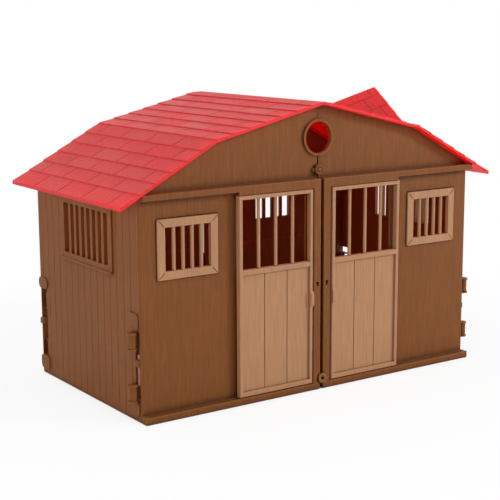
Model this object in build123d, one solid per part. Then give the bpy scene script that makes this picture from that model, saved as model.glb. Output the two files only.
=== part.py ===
from build123d import *

import os
from math import atan2, degrees, hypot

# Toy barn that opens at the front like a book, with two sliding doors.
#
# Millimetres, +Z up, +Y to the back. The origin is on the ground, in the middle of the
# roof's outline. Each half is moulded from flat walls that snap together on short hinge
# pins at the corners, and carries one half of the shingled gambrel roof. Pieces of the
# left half are built first, and those of the right half are their mirror image unless
# they differ.

# ---------------------------------------------------------------- driving dimensions
WALL_SPAN = 380.0          # across the outer faces of the side walls
WALL_DEPTH = 199.0         # from the front walls' outer face to the back walls'
WALL_TOP = 200.4           # side walls and front ledge, up to the roof's underside
WALL_T = 2.4               # thickness of every moulded wall
WALL_CORNER_R = 2.0        # rounded outer corner of the front and back walls
SEAM = 1.9                 # gap between the two halves at the walls
GABLE_SEAM = 0.6           # the same gap beside and above the round window
CUT_OVER = 1.0             # how far a cut runs past the surface that it opens
EDGE = 0.5                 # chamfer on the moulded frames

KNEE_X = 116.8             # where the roof pitch changes
UPPER_FALL = 0.2406        # fall per mm sideways, above and below the knee
LOWER_FALL = 0.5402
EAVE_OVERHANG = 21.5       # beyond the side walls
FRONT_OVERHANG = 10.2
REAR_OVERHANG = 7.8
ROOF_DROP = 2.5            # roof sheet, measured straight down
ROOF_SEAM = 0.4            # gap between the two roof halves on the ridge
UPPER_COURSES = 7
LOWER_COURSES = 6
RIDGE_COURSE = 0.82        # height of the first course, as a share of the others
EAVE_COURSE = 1.15         # height of the last course, as a share of the others
COURSE_STEP = 0.9          # how far a shingle's lower edge stands proud
SHINGLE_W = 48.0
JOINT_W = 0.9              # slit between two shingles of one course
JOINT_DEPTH = 0.7
RIB_T = 1.6                # locating ribs under the roof
RIB_H = 4.0
RIB_FIT = 0.2

TRACK_DEPTH = 8.6          # how far ledges, lintel and posts stand in front of the wall
LEDGE_H = 5.5              # upper ledge beside the doorway
LINTEL_H = 8.5             # upper ledge over the doors
BASE_H = 6.3               # lower ledge
POST_X0 = 1.6              # centre post, from the seam
POST_X1 = 9.6

DOOR_X0 = 10.0             # door edge beside the post
DOOR_AJAR = 2.6            # how far the right door stands open at rest
DOOR_W = 82.0
DOOR_T = 5.4
DOOR_INSET = 0.9           # door's front face behind the post's
DOOR_GAP = 0.4             # running gap above and below a door
STILE_W = 3.2
TOP_RAIL_H = 3.7
MID_RAIL_Z0 = 119.5
MID_RAIL_H = 4.5
BOTTOM_RAIL_H = 4.5
PANEL_T = 2.2
PANEL_INSET = 2.2          # lower panel behind the door's front face
DOOR_BAR_D = 3.2
BAR_ROOT = 1.0             # how far a round bar reaches into its frame
DOOR_BARS = 3
DOOR_PLANKS = 3
PLANK_SLIT = 0.8
PLANK_DEPTH = 0.7
PULL_Z0 = 80.0             # finger bump on the stile beside the post
PULL_H = 16.0
PULL_PROUD = 2.0
PULL_TAPER = 3.0
DOORWAY_MARGIN = 3.0       # how far a closed door laps over its doorway
SLIDER_L = 10.0            # sliders that keep a door in its tracks
SLIDER_T = 1.3
SLIDER_INSET = 4.0
SLIDER_REACH = 4.7
SLIDER_FOOT = 3.3
TRACK_GAP = 0.35

PLANK_PITCH = 12.5         # vertical boards of the side and back walls

FRAME_X = 141.5            # small front windows: centre, size of frame and of hole
FRAME_Z0 = 124.0
FRAME_W = 61.7
FRAME_H = 53.3
FRAME_PROUD = 1.9
FRAME_R = 1.6
FRAME_POCKET = 0.8         # depth of the seat in the wall, and the slit around the frame
PANE_W = 46.7
PANE_H = 38.6
SPIGOT_T = 2.0
FRAME_BARS = 4
FRAME_BAR_D = 3.4
MITRE_W = 0.8
MITRE_DEPTH = 0.6
MITRE_SHARE = 0.74         # length of a mitre slit, as a share of the corner's diagonal

SIDE_WIN_FROM_FRONT = 52.0  # side windows: from the front walls' outer face to the hole
SIDE_WIN_W = 86.0
SIDE_WIN_Z0 = 131.0
SIDE_WIN_H = 47.0
SIDE_FRAME_W = 6.5
SIDE_FRAME_PROUD = 1.8
SILL_T = 1.4               # raised lower edge of a side window's frame
SILL_PROUD = 0.9
SIDE_BARS = 7
SIDE_BAR_W = 4.0
SIDE_BAR_T = 5.0
SIDE_BAR_INSET = 0.6       # bars behind the frame's outer face

BACK_WIN_X = 89.8          # back windows
BACK_WIN_W = 45.0
BACK_WIN_Z0 = 129.0
BACK_WIN_H = 49.0
BACK_BARS = 3
BACK_BAR_W = 3.6
DADO_Z = 106.0             # top of the raised boarding inside the back walls
DADO_T = 0.8
DADO_INSET = 16.4          # its distance from the side wall

ROUND_DROP = 33.0          # round window over the doors, below the ridge
ROUND_OD = 34.0
ROUND_ID = 29.6
ROUND_PROUD = 2.0

PIN_D = 2.4                # short pins of the snap hinges in the corners
PIN_FIT = 0.05
FRONT_PIN_OUT = 5.4        # front pins: outside the side wall, and behind the front face
FRONT_PIN_BACK = 5.8
BACK_PIN_IN = 5.6          # back pins: inside the side wall's outer face, and before the back face
BACK_PIN_BACK = 8.0
FRONT_HOOK_OD = 7.6
BACK_HOOK_OD = 6.0
HOOK_MOUTH = 1.6
HOOK_BANDS = ((20.4, 32.4), (66.8, 78.8))
EAR_T = 1.6                # ears of a side wall that hold a pin above and below each hook
EAR_RIM = 0.8              # an ear's edge beyond its hook
EAR_GAP = 0.1
SLOT_Z0 = 18.6             # slots in the side walls beside the hooks
FRONT_SLOT_Z1 = 80.6
FRONT_SLOT_W = 7.0
BACK_SLOT_Z1 = 86.0
BACK_SLOT_W = 12.2
TAB_W = 17.5               # raised tabs above and below each slot
TAB_PROUD = 1.3
TAB_R = 4.5
TAB_Z0 = 4.6
TAB_TOP_H = 16.0
BACK_TAB_TOP_H = 11.0
STOP_Z0 = 49.6             # rounded stop half way up each slot
STOP_H = 6.6
STOP_W = 6.4
STOP_PROUD = 2.4
STOP_R = 1.6
HOOK_INSET = 0.4           # hooks' web behind the side wall's outer face
STOP_START = 1.6           # from the outer face of the wall that carries it

HINGE_BACK = 2.6           # back hinge axis behind the back walls' outer face
HINGE_OD = 7.0
HINGE_PIN_D = 3.0
HINGE_FIT = 0.1
HINGE_GAP = 0.5            # between two knuckles
HINGE_CLEAR = 0.5          # around a knuckle, in the other half's wall
HINGE_Z0 = 6.0
HINGE_KNUCKLES = 5
PIN_FLOOR = 1.5            # closed bottom under the hinge pin
KNUCKLE_L = 18.0
LEAF_W = 12.0
RIDGE_NOTCH_EXTRA = 1.2

CATCH_OD = 9.6             # catches that hold the halves together
CATCH_ID = 5.0
CATCH_T = 3.0
CATCH_DROP = 29.5          # upper catch below the round window's middle
CATCH_LOW_Z = 10.5
CATCH_LOW_PROUD = 1.4
PEG_D = 3.4
PEG_SINK = 2.0             # lower peg behind its catch's face
POCKET_GAP = 0.9
BASE_NOTCH_W = 4.6         # notch under the seam
BASE_NOTCH_H = 2.0
KEYHOLE_Z = 102.0
KEYHOLE_W = 3.4
KEYHOLE_H = 4.4
KEYHOLE_DEPTH = 4.0
KEYHOLE_TOOTH = 1.1

DORMER_Y_FROM_FRONT = 97.0  # dormer ridge, from the front walls' outer face
DORMER_HINGE_X = 70.6      # where its ridge leaves the roof
DORMER_RUN = 78.8          # ridge length, seen from above
DORMER_RISE = 20.7         # rise of the ridge over that length
DORMER_FALL = 1.018        # fall of its two faces, per mm sideways, square to the ridge
DORMER_START = 6.0         # lid begins this far outside the point where the ridge ends
DORMER_T = 2.2
DORMER_SHINGLE_W = 24.0
DORMER_COURSE = 14.6
DORMER_COURSES = 6
DORMER_RIDGE_COURSE = 0.62
DORMER_STEP = 0.7
DORMER_GAP = 0.35
GABLE_INSET = 6.0          # dormer gable wall behind the ridge's outer end
GABLE_T = 2.0
HATCH_MARGIN = 7.0         # roof left standing around the opening under the dormer
DORMER_PIN_D = 2.0
DORMER_KNUCKLE_D = 4.4
DORMER_KNUCKLE_L = 8.0
DORMER_LUG_L = 3.0
DORMER_PIN_LIFT = 3.5      # pin axis over the roof surface

# ---------------------------------------------------------------- places worked out
ROOF_LENGTH = FRONT_OVERHANG + WALL_DEPTH + REAR_OVERHANG
ROOF_FRONT = -ROOF_LENGTH / 2
ROOF_REAR = ROOF_LENGTH / 2
FRONT_Y = ROOF_FRONT + FRONT_OVERHANG
BACK_Y = FRONT_Y + WALL_DEPTH
TRACK_Y = FRONT_Y - TRACK_DEPTH
SIDE_X = WALL_SPAN / 2
INNER_X = SIDE_X - WALL_T
HALF_SEAM = SEAM / 2
EAVE_X = SIDE_X + EAVE_OVERHANG
KNEE_Z = WALL_TOP + ROOF_DROP + LOWER_FALL * (SIDE_X - KNEE_X)
APEX_Z = KNEE_Z + UPPER_FALL * KNEE_X
EAVE_Z = KNEE_Z - LOWER_FALL * (EAVE_X - KNEE_X)
ROUND_Z = APEX_Z - ROUND_DROP
CATCH_TOP_Z = ROUND_Z - CATCH_DROP
LINTEL_Z = WALL_TOP - LINTEL_H
DOOR_Z0 = BASE_H + DOOR_GAP
DOOR_Z1 = LINTEL_Z - DOOR_GAP
DOOR_X1 = DOOR_X0 + DOOR_W
DOOR_FRONT = TRACK_Y + DOOR_INSET
DOOR_BACK = DOOR_FRONT + DOOR_T
SIDE_WIN_Y0 = FRONT_Y + SIDE_WIN_FROM_FRONT
SIDE_WIN_Y1 = SIDE_WIN_Y0 + SIDE_WIN_W
SIDE_WIN_Z1 = SIDE_WIN_Z0 + SIDE_WIN_H
HINGE_Y = BACK_Y + HINGE_BACK
DORMER_Y = FRONT_Y + DORMER_Y_FROM_FRONT
DORMER_PITCH = DORMER_RISE / DORMER_RUN
DORMER_SLOPE = hypot(1, DORMER_PITCH)


# ---------------------------------------------------------------- helpers
def block(x0, x1, y0, y1, z0, z1):
    """A box between two corners."""
    size = Box(abs(x1 - x0), abs(y1 - y0), abs(z1 - z0))
    return Pos((x0 + x1) / 2, (y0 + y1) / 2, (z0 + z1) / 2) * size


def prism_y(points, y0, y1):
    """A profile of (x, z) points, extruded from y0 to y1."""
    face = make_face(Polyline(*points, close=True))
    return extrude(Plane.XZ.offset(-y1) * face, amount=y1 - y0)


def prism_x(points, x0, x1):
    """A profile of (y, z) points, extruded from x0 to x1."""
    face = make_face(Polyline(*points, close=True))
    return extrude(Plane.YZ.offset(x0) * face, amount=x1 - x0)


def rod_y(x, z, diameter, y0, y1):
    """A round rod along Y."""
    return Pos(x, (y0 + y1) / 2, z) * Rot(90, 0, 0) * Cylinder(diameter / 2, y1 - y0)


def rod_z(x, y, diameter, z0, z1):
    """A round rod along Z."""
    return Pos(x, y, (z0 + z1) / 2) * Cylinder(diameter / 2, z1 - z0)


def frame_block(width, height, y0, y1):
    """A block centred on the left front window."""
    middle = FRAME_Z0 + FRAME_H / 2
    return block(
        -FRAME_X - width / 2, -FRAME_X + width / 2, y0, y1, middle - height / 2, middle + height / 2,
    )


def roof_top(x):
    """Height of the roof's nominal outer surface at a distance from the middle."""
    if x <= KNEE_X:
        return APEX_Z - UPPER_FALL * x
    return KNEE_Z - LOWER_FALL * (x - KNEE_X)


def roof_under(x):
    """Height of the roof's underside."""
    return roof_top(x) - ROOF_DROP


def flipped(shape):
    """The same shape on the other side of the seam."""
    return mirror(shape, about=Plane.YZ)


# ---------------------------------------------------------------- corners
class Corner:
    """Where one left corner's snap hinges sit, and which way its walls run."""

    def __init__(self, face_y, inward, pin_x, pin_back, hook_od, slot_w, slot_z1, tab_start, tab_h):
        self.face_y = face_y
        self.inward = inward
        self.pin = (pin_x, face_y + inward * pin_back)
        self.hook_od = hook_od
        self.slot_y = face_y + inward * (WALL_T + slot_w)
        self.slot_z1 = slot_z1
        self.tab_y = face_y + inward * tab_start
        self.tab_h = tab_h
        self.outside = pin_x < -SIDE_X

    def hooks(self):
        """Barrels of the front or back wall around the pins, and the stop between them."""
        pin_x, pin_y = self.pin
        start = self.face_y + self.inward * STOP_START
        pieces = []
        for low, high in HOOK_BANDS:
            if self.outside:
                web_y = self.face_y + self.inward * WALL_T / 2
                arm = block(-SIDE_X + HOOK_INSET, -INNER_X, web_y, pin_y, low, high)
                arm += block(pin_x, -INNER_X, pin_y - PIN_D / 2, pin_y + PIN_D / 3, low, high)
            else:
                arm = block(pin_x - PIN_D / 2, pin_x + PIN_D / 2, start, pin_y, low, high)
            pieces += [arm, rod_z(pin_x, pin_y, self.hook_od, low, high)]
        end = start + self.inward * STOP_W
        stop = block(-SIDE_X - STOP_PROUD, -INNER_X, start, end, STOP_Z0, STOP_Z0 + STOP_H)
        rounded = stop.edges().filter_by(Axis.X) + stop.faces().sort_by(Axis.X)[0].edges()
        return pieces + [fillet(rounded, STOP_R)]

    def hook_cuts(self):
        """Bores of the barrels, and the mouths through which they snap onto the pins."""
        pin_x, pin_y = self.pin
        cuts = []
        for low, high in HOOK_BANDS:
            mouth_end = pin_y + self.inward * self.hook_od
            cuts.append(rod_z(pin_x, pin_y, PIN_D + 2 * PIN_FIT, low, high))
            cuts.append(block(pin_x - HOOK_MOUTH / 2, pin_x + HOOK_MOUTH / 2, pin_y, mouth_end, low, high))
        return cuts

    def ears(self):
        """Ears of the side wall that hold each pin above and below its hook."""
        pin_x, pin_y = self.pin
        reach = self.hook_od / 2
        root_x = -SIDE_X if self.outside else -INNER_X
        root = [(root_x, self.slot_y), (root_x, self.slot_y + self.inward * reach)]
        way = -1 if self.outside else 1
        outline = root + [(pin_x + way * reach / 2, pin_y + self.inward * reach / 2), (pin_x, pin_y)]
        web = make_face(Polyline(*outline, close=True))
        ears = []
        for low, high in HOOK_BANDS:
            for floor in (low - EAR_GAP - EAR_T, high + EAR_GAP):
                disc = rod_z(pin_x, pin_y, self.hook_od + 2 * EAR_RIM, floor, floor + EAR_T)
                ear = disc + extrude(Pos(0, 0, floor) * web, amount=EAR_T)
                ears.append(ear - rod_z(pin_x, pin_y, PIN_D + 2 * PIN_FIT, floor, floor + EAR_T))
        return ears

    def slot(self):
        """Slot in the side wall, open to its edge."""
        return block(-SIDE_X - CUT_OVER, -INNER_X, self.face_y, self.slot_y, SLOT_Z0, self.slot_z1)

    def tabs(self):
        """Raised tabs with rounded corners, above and below the slot."""
        tabs = []
        for low, high in ((TAB_Z0, SLOT_Z0), (self.slot_z1, self.slot_z1 + self.tab_h)):
            end = self.tab_y + self.inward * TAB_W
            tab = block(-SIDE_X - TAB_PROUD, -SIDE_X, self.tab_y, end, low, high)
            tabs.append(fillet(tab.edges().filter_by(Axis.X), TAB_R))
        return tabs

    def pins(self):
        """The corner's short hinge pins, flush with the ears."""
        reach = EAR_GAP + EAR_T
        pins = [rod_z(*self.pin, PIN_D, low - reach, high + reach) for low, high in HOOK_BANDS]
        return Compound(children=pins)


FRONT_CORNER = Corner(
    FRONT_Y, 1, -SIDE_X - FRONT_PIN_OUT, FRONT_PIN_BACK, FRONT_HOOK_OD, FRONT_SLOT_W, FRONT_SLOT_Z1,
    WALL_T, TAB_TOP_H,
)
BACK_CORNER = Corner(
    BACK_Y, -1, -SIDE_X + BACK_PIN_IN, BACK_PIN_BACK, BACK_HOOK_OD, BACK_SLOT_W, BACK_SLOT_Z1,
    0, BACK_TAB_TOP_H,
)


# ---------------------------------------------------------------- walls
def gable_panel(face_y, inner_y):
    """Left half of a gable wall, up to the roof's underside, with a rounded outer corner."""
    outline = [
        (-HALF_SEAM, 0),
        (-SIDE_X, 0),
        (-SIDE_X, roof_under(SIDE_X)),
        (-KNEE_X, roof_under(KNEE_X)),
        (-GABLE_SEAM / 2, roof_under(GABLE_SEAM / 2)),
        (-GABLE_SEAM / 2, ROUND_Z - ROUND_OD / 2),
        (-HALF_SEAM, ROUND_Z - ROUND_OD / 2),
    ]
    panel = prism_y(outline, min(face_y, inner_y), max(face_y, inner_y))
    corner = panel.edges().filter_by(Axis.Z).filter_by_position(Axis.X, -SIDE_X - EDGE, -SIDE_X + EDGE)
    return fillet(corner.filter_by_position(Axis.Y, face_y - EDGE, face_y + EDGE), WALL_CORNER_R)


def mitre_cuts(plane, width, height, edge_w, edge_h):
    """Thin slits across the four corners of a frame that lies in a plane."""
    cuts = []
    for across in (-1, 1):
        for up in (-1, 1):
            middle = Pos(across * (width - edge_w) / 2, up * (height - edge_h) / 2, 0)
            turn = Rot(0, 0, degrees(atan2(up * edge_h, across * edge_w)))
            length = hypot(edge_w, edge_h) * MITRE_SHARE
            cuts.append(plane * middle * turn * Box(length, MITRE_W, 2 * MITRE_DEPTH))
    return cuts


def track_grooves():
    """Grooves over and under the left door for its sliders."""
    half = SLIDER_T / 2 + TRACK_GAP
    middle = DOOR_FRONT + DOOR_T / 2
    ends = (-SIDE_X + STILE_W, -POST_X1)
    rail = (middle - half, middle + half)
    over = block(*ends, *rail, LINTEL_Z - CUT_OVER, DOOR_Z1 + SLIDER_REACH + TRACK_GAP)
    under = block(*ends, *rail, DOOR_Z0 - SLIDER_FOOT - TRACK_GAP, DOOR_Z0)
    return [over, under]


def track_frame():
    """Base, ledge, lintel and centre post in one frame, with a small chamfer all round."""
    frame_end = -DOOR_X1 - DOOR_GAP
    frame = block(-SIDE_X, -POST_X0, TRACK_Y, FRONT_Y, 0, BASE_H)
    frame += [
        block(-SIDE_X, frame_end, TRACK_Y, FRONT_Y, WALL_TOP - LEDGE_H, WALL_TOP),
        block(frame_end, -POST_X0, TRACK_Y, FRONT_Y, LINTEL_Z, WALL_TOP),
        block(-POST_X1, -POST_X0, TRACK_Y, FRONT_Y, 0, WALL_TOP),
    ]
    return chamfer(frame.faces().sort_by(Axis.Y)[0].edges(), EDGE)


def front_left_wall():
    """Front wall with track, centre post, half a round window and corner hooks."""
    inner_y = FRONT_Y + WALL_T
    wall = gable_panel(FRONT_Y, inner_y)
    ring = rod_y(0, ROUND_Z, ROUND_OD, FRONT_Y - ROUND_PROUD, FRONT_Y)
    wall += [track_frame(), ring] + FRONT_CORNER.hooks()
    wall -= block(-GABLE_SEAM / 2, ROUND_OD, FRONT_Y - TRACK_DEPTH, inner_y, 0, APEX_Z)
    doorway = block(
        -DOOR_X1 + DOORWAY_MARGIN, -DOOR_X0 - DOORWAY_MARGIN, FRONT_Y, inner_y,
        DOOR_Z0 + DOORWAY_MARGIN / 2, DOOR_Z1 - DOORWAY_MARGIN / 2,
    )
    slit = 2 * FRAME_POCKET
    seat = frame_block(FRAME_W + slit, FRAME_H + slit, FRONT_Y, FRONT_Y + FRAME_POCKET)
    window = frame_block(PANE_W + 2 * SPIGOT_T, PANE_H + 2 * SPIGOT_T, FRONT_Y, inner_y)
    round_hole = rod_y(0, ROUND_Z, ROUND_ID, FRONT_Y - ROUND_PROUD, inner_y)
    notch = block(-BASE_NOTCH_W / 2, 0, TRACK_Y, FRONT_Y, 0, BASE_NOTCH_H)
    return wall - [doorway, seat, window, round_hole, notch] - FRONT_CORNER.hook_cuts() - track_grooves()


def keyhole():
    """Small square pocket in the centre post, with a tooth at its inner edge."""
    middle = -(POST_X0 + POST_X1) / 2
    pocket = block(
        middle - KEYHOLE_W / 2, middle + KEYHOLE_W / 2, TRACK_Y, TRACK_Y + KEYHOLE_DEPTH,
        KEYHOLE_Z - KEYHOLE_H / 2, KEYHOLE_Z + KEYHOLE_H / 2,
    )
    tooth = block(
        middle - KEYHOLE_W / 2, middle - KEYHOLE_W / 2 + KEYHOLE_TOOTH, TRACK_Y, TRACK_Y + KEYHOLE_DEPTH,
        KEYHOLE_Z - KEYHOLE_TOOTH, KEYHOLE_Z,
    )
    return pocket - tooth


def with_peg(wall, z, catch_front, sink):
    """Add a peg on a short arm that reaches the seam, in a pocket that clears the catch."""
    floor = catch_front + CATCH_T + POCKET_GAP
    wall -= rod_y(0, z, CATCH_OD + 2 * POCKET_GAP, catch_front, floor)
    arm_x = -CATCH_OD / 2 - 2 * POCKET_GAP
    arm = block(arm_x, 0, catch_front + sink + POCKET_GAP, floor, z - PEG_D / 2, z + PEG_D / 2)
    return wall + [arm, rod_y(0, z, PEG_D, catch_front + sink, floor)]


def with_catch(wall, z, catch_front):
    """Add an open ring that takes the other half's peg from the side."""
    back = catch_front + CATCH_T
    mouth = block(-CATCH_OD, 0, catch_front, back, z - CATCH_ID / 2, z + CATCH_ID / 2)
    ring = rod_y(0, z, CATCH_OD, catch_front, back)
    wall += chamfer(ring.faces().sort_by(Axis.Y)[0].edges(), EDGE)
    return wall - [rod_y(0, z, CATCH_ID, catch_front, back + POCKET_GAP + TRACK_GAP), mouth]


def side_window_bars():
    """Square bars of a side window, deeper than the wall."""
    pitch = SIDE_WIN_W / (SIDE_BARS + 1)
    outer = -SIDE_X - SIDE_FRAME_PROUD + SIDE_BAR_INSET
    bars = []
    for number in range(1, SIDE_BARS + 1):
        middle = SIDE_WIN_Y0 + number * pitch
        ends = (middle - SIDE_BAR_W / 2, middle + SIDE_BAR_W / 2)
        bars.append(block(outer, outer + SIDE_BAR_T, *ends, SIDE_WIN_Z0 - BAR_ROOT, SIDE_WIN_Z1 + BAR_ROOT))
    return bars


def with_side_window(wall):
    """Add a side window's mitred frame, sill and bars, and cut its hole."""
    outer = -SIDE_X - SIDE_FRAME_PROUD
    y_ends = (SIDE_WIN_Y0 - SIDE_FRAME_W, SIDE_WIN_Y1 + SIDE_FRAME_W)
    low = SIDE_WIN_Z0 - SIDE_FRAME_W
    frame = block(outer, -INNER_X, *y_ends, low, SIDE_WIN_Z1 + SIDE_FRAME_W)
    frame = chamfer(frame.faces().sort_by(Axis.X)[0].edges(), EDGE)
    sill = block(outer - SILL_PROUD, outer + EDGE, *y_ends, low, low + SILL_T)
    hole = block(outer, -INNER_X, SIDE_WIN_Y0, SIDE_WIN_Y1, SIDE_WIN_Z0, SIDE_WIN_Z1)
    middle = (outer, (SIDE_WIN_Y0 + SIDE_WIN_Y1) / 2, (SIDE_WIN_Z0 + SIDE_WIN_Z1) / 2)
    plane = Plane(middle, x_dir=(0, -1, 0), z_dir=(-1, 0, 0))
    width = SIDE_WIN_W + 2 * SIDE_FRAME_W
    height = SIDE_WIN_H + 2 * SIDE_FRAME_W
    cuts = [hole] + mitre_cuts(plane, width, height, SIDE_FRAME_W, SIDE_FRAME_W)
    return wall + [frame, sill] - cuts + side_window_bars()


def side_wall():
    """Left side wall: boards, barred window, and ears for the corners' pins."""
    y0 = FRONT_Y + WALL_T
    y1 = BACK_Y - WALL_T
    wall = block(-SIDE_X, -INNER_X, y0, y1, 0, roof_under(SIDE_X))
    grooves = []
    for number in range(1, int((y1 - y0) / PLANK_PITCH) + 1):
        y = y0 + number * PLANK_PITCH
        ends = (y - PLANK_SLIT / 2, y + PLANK_SLIT / 2)
        grooves.append(block(-SIDE_X, -SIDE_X + PLANK_DEPTH, *ends, 0, roof_under(SIDE_X)))
    wall = with_side_window(wall - grooves)
    for corner in (FRONT_CORNER, BACK_CORNER):
        wall = wall - corner.slot() + corner.ears() + corner.tabs()
    return wall


def knuckle_band(number):
    """Lower and upper end of one knuckle of the back hinge."""
    low = HINGE_Z0 + number * (KNUCKLE_L + HINGE_GAP)
    return low, low + KNUCKLE_L


def with_knuckles(wall, side, own):
    """Add a half's own knuckles and clear its wall around the other half's."""
    for number in range(HINGE_KNUCKLES):
        low, high = knuckle_band(number)
        if number % 2 == own:
            continue
        wall -= rod_z(0, HINGE_Y, HINGE_OD + 2 * HINGE_CLEAR, low - HINGE_GAP, high + HINGE_GAP)
    for number in range(own, HINGE_KNUCKLES, 2):
        low, high = knuckle_band(number)
        depth = (BACK_Y - WALL_T / 2, BACK_Y + HINGE_PIN_D / 2)
        leaf = block(side * HALF_SEAM, side * LEAF_W, *depth, low, high)
        bore_low = low + PIN_FLOOR if number == 0 else low
        bore = rod_z(0, HINGE_Y, HINGE_PIN_D + 2 * HINGE_FIT, bore_low, high)
        wall = wall + [leaf, rod_z(0, HINGE_Y, HINGE_OD, low, high)] - bore
    return wall


def back_hinge_pin():
    """Steel pin that the right half swings on, standing on the lowest knuckle's floor."""
    top = knuckle_band(HINGE_KNUCKLES - 1)[1]
    return rod_z(0, HINGE_Y, HINGE_PIN_D, HINGE_Z0 + PIN_FLOOR, top)


def back_left_wall():
    """Back wall with boards outside, a dado inside, a barred window and corner hooks."""
    inner_y = BACK_Y - WALL_T
    wall = gable_panel(BACK_Y, inner_y)
    grooves = []
    for number in range(1, int(SIDE_X / PLANK_PITCH) + 1):
        x = -SIDE_X + number * PLANK_PITCH
        ends = (x - PLANK_SLIT / 2, x + PLANK_SLIT / 2)
        grooves.append(block(*ends, BACK_Y - PLANK_DEPTH, BACK_Y, 0, APEX_Z))
    wall -= grooves
    wall += block(-SIDE_X + DADO_INSET, -LEAF_W, inner_y - DADO_T, inner_y, 0, DADO_Z)
    left = -BACK_WIN_X - BACK_WIN_W / 2
    right = left + BACK_WIN_W
    outer_y = BACK_Y + SIDE_FRAME_PROUD
    z1 = BACK_WIN_Z0 + BACK_WIN_H
    frame = block(
        left - SIDE_FRAME_W, right + SIDE_FRAME_W, inner_y, outer_y,
        BACK_WIN_Z0 - SIDE_FRAME_W, z1 + SIDE_FRAME_W,
    )
    frame = chamfer(frame.faces().sort_by(Axis.Y)[-1].edges(), EDGE)
    hole = block(left, right, inner_y, outer_y, BACK_WIN_Z0, z1)
    plane = Plane((-BACK_WIN_X, outer_y, (BACK_WIN_Z0 + z1) / 2), x_dir=(-1, 0, 0), z_dir=(0, 1, 0))
    width = BACK_WIN_W + 2 * SIDE_FRAME_W
    height = BACK_WIN_H + 2 * SIDE_FRAME_W
    cuts = [hole] + mitre_cuts(plane, width, height, SIDE_FRAME_W, SIDE_FRAME_W)
    wall = wall + [frame] + BACK_CORNER.hooks() - cuts - BACK_CORNER.hook_cuts()
    pitch = BACK_WIN_W / (BACK_BARS + 1)
    for number in range(1, BACK_BARS + 1):
        x = left + number * pitch
        wall += block(x - BACK_BAR_W / 2, x + BACK_BAR_W / 2, inner_y, BACK_Y, BACK_WIN_Z0, z1)
    return wall


# ---------------------------------------------------------------- doors and windows
def door_pull(right):
    """Finger bump with tapered ends on the stile beside the post."""
    foot = DOOR_FRONT
    profile = [
        (foot, PULL_Z0), (foot - PULL_PROUD, PULL_Z0 + PULL_TAPER),
        (foot - PULL_PROUD, PULL_Z0 + PULL_H - PULL_TAPER), (foot, PULL_Z0 + PULL_H),
    ]
    return prism_x(profile, right - STILE_W, right)


def door_sliders():
    """Short feet and tongues that keep the door in its tracks."""
    middle = DOOR_FRONT + DOOR_T / 2
    depth = (middle - SLIDER_T / 2, middle + SLIDER_T / 2)
    sliders = []
    for x in (-DOOR_X1 + SLIDER_INSET, -DOOR_X0 - SLIDER_INSET - SLIDER_L):
        sliders.append(block(x, x + SLIDER_L, *depth, DOOR_Z1 - BAR_ROOT, DOOR_Z1 + SLIDER_REACH))
        sliders.append(block(x, x + SLIDER_L, *depth, DOOR_Z0 - SLIDER_FOOT, DOOR_Z0 + BAR_ROOT))
    return sliders


def left_door():
    """One moulding: frame, three round bars, boarded panel, pull and sliders."""
    outer = block(-DOOR_X1, -DOOR_X0, DOOR_FRONT, DOOR_BACK, DOOR_Z0, DOOR_Z1)
    outer = chamfer(outer.faces().sort_by(Axis.Y)[0].edges(), EDGE)
    left = -DOOR_X1 + STILE_W
    right = -DOOR_X0 - STILE_W
    window_z0 = MID_RAIL_Z0 + MID_RAIL_H
    window_z1 = DOOR_Z1 - TOP_RAIL_H
    window = block(left, right, DOOR_FRONT, DOOR_BACK, window_z0, window_z1)
    panel_z = (DOOR_Z0 + BOTTOM_RAIL_H, MID_RAIL_Z0)
    panel_front = DOOR_FRONT + PANEL_INSET
    front_recess = block(left, right, DOOR_FRONT, panel_front, *panel_z)
    back_recess = block(left, right, panel_front + PANEL_T, DOOR_BACK, *panel_z)
    slits = []
    for number in range(1, DOOR_PLANKS):
        x = left + number * (right - left) / DOOR_PLANKS
        ends = (x - PLANK_SLIT / 2, x + PLANK_SLIT / 2)
        slits.append(block(*ends, panel_front, panel_front + PLANK_DEPTH, *panel_z))
    door = outer - [window, front_recess, back_recess] - slits
    pitch = (right - left) / (DOOR_BARS + 1)
    for number in range(1, DOOR_BARS + 1):
        x = left + number * pitch
        middle = DOOR_FRONT + DOOR_T / 2
        door += rod_z(x, middle, DOOR_BAR_D, window_z0 - BAR_ROOT, window_z1 + BAR_ROOT)
    return door + [door_pull(-DOOR_X0)] + door_sliders()


def left_window_frame():
    """Small barred window with rounded corners and mitres, pushed into the front wall."""
    front = FRONT_Y - FRAME_PROUD
    seat = FRONT_Y + FRAME_POCKET
    flange = frame_block(FRAME_W, FRAME_H, front, seat)
    flange = fillet(flange.edges().filter_by(Axis.Y), FRAME_R)
    flange = chamfer(flange.faces().sort_by(Axis.Y)[0].edges(), EDGE)
    spigot = frame_block(PANE_W + 2 * SPIGOT_T, PANE_H + 2 * SPIGOT_T, seat, FRONT_Y + WALL_T)
    hole = frame_block(PANE_W, PANE_H, front, FRONT_Y + WALL_T)
    plane = Plane((-FRAME_X, front, FRAME_Z0 + FRAME_H / 2), x_dir=(1, 0, 0), z_dir=(0, -1, 0))
    mitres = mitre_cuts(plane, FRAME_W, FRAME_H, (FRAME_W - PANE_W) / 2, (FRAME_H - PANE_H) / 2)
    frame = flange + spigot - [hole] - mitres
    low = FRAME_Z0 + (FRAME_H - PANE_H) / 2
    pitch = PANE_W / (FRAME_BARS + 1)
    for number in range(1, FRAME_BARS + 1):
        x = -FRAME_X - PANE_W / 2 + number * pitch
        frame += rod_z(x, FRONT_Y, FRAME_BAR_D, low - BAR_ROOT, low + PANE_H + BAR_ROOT)
    return frame


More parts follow.
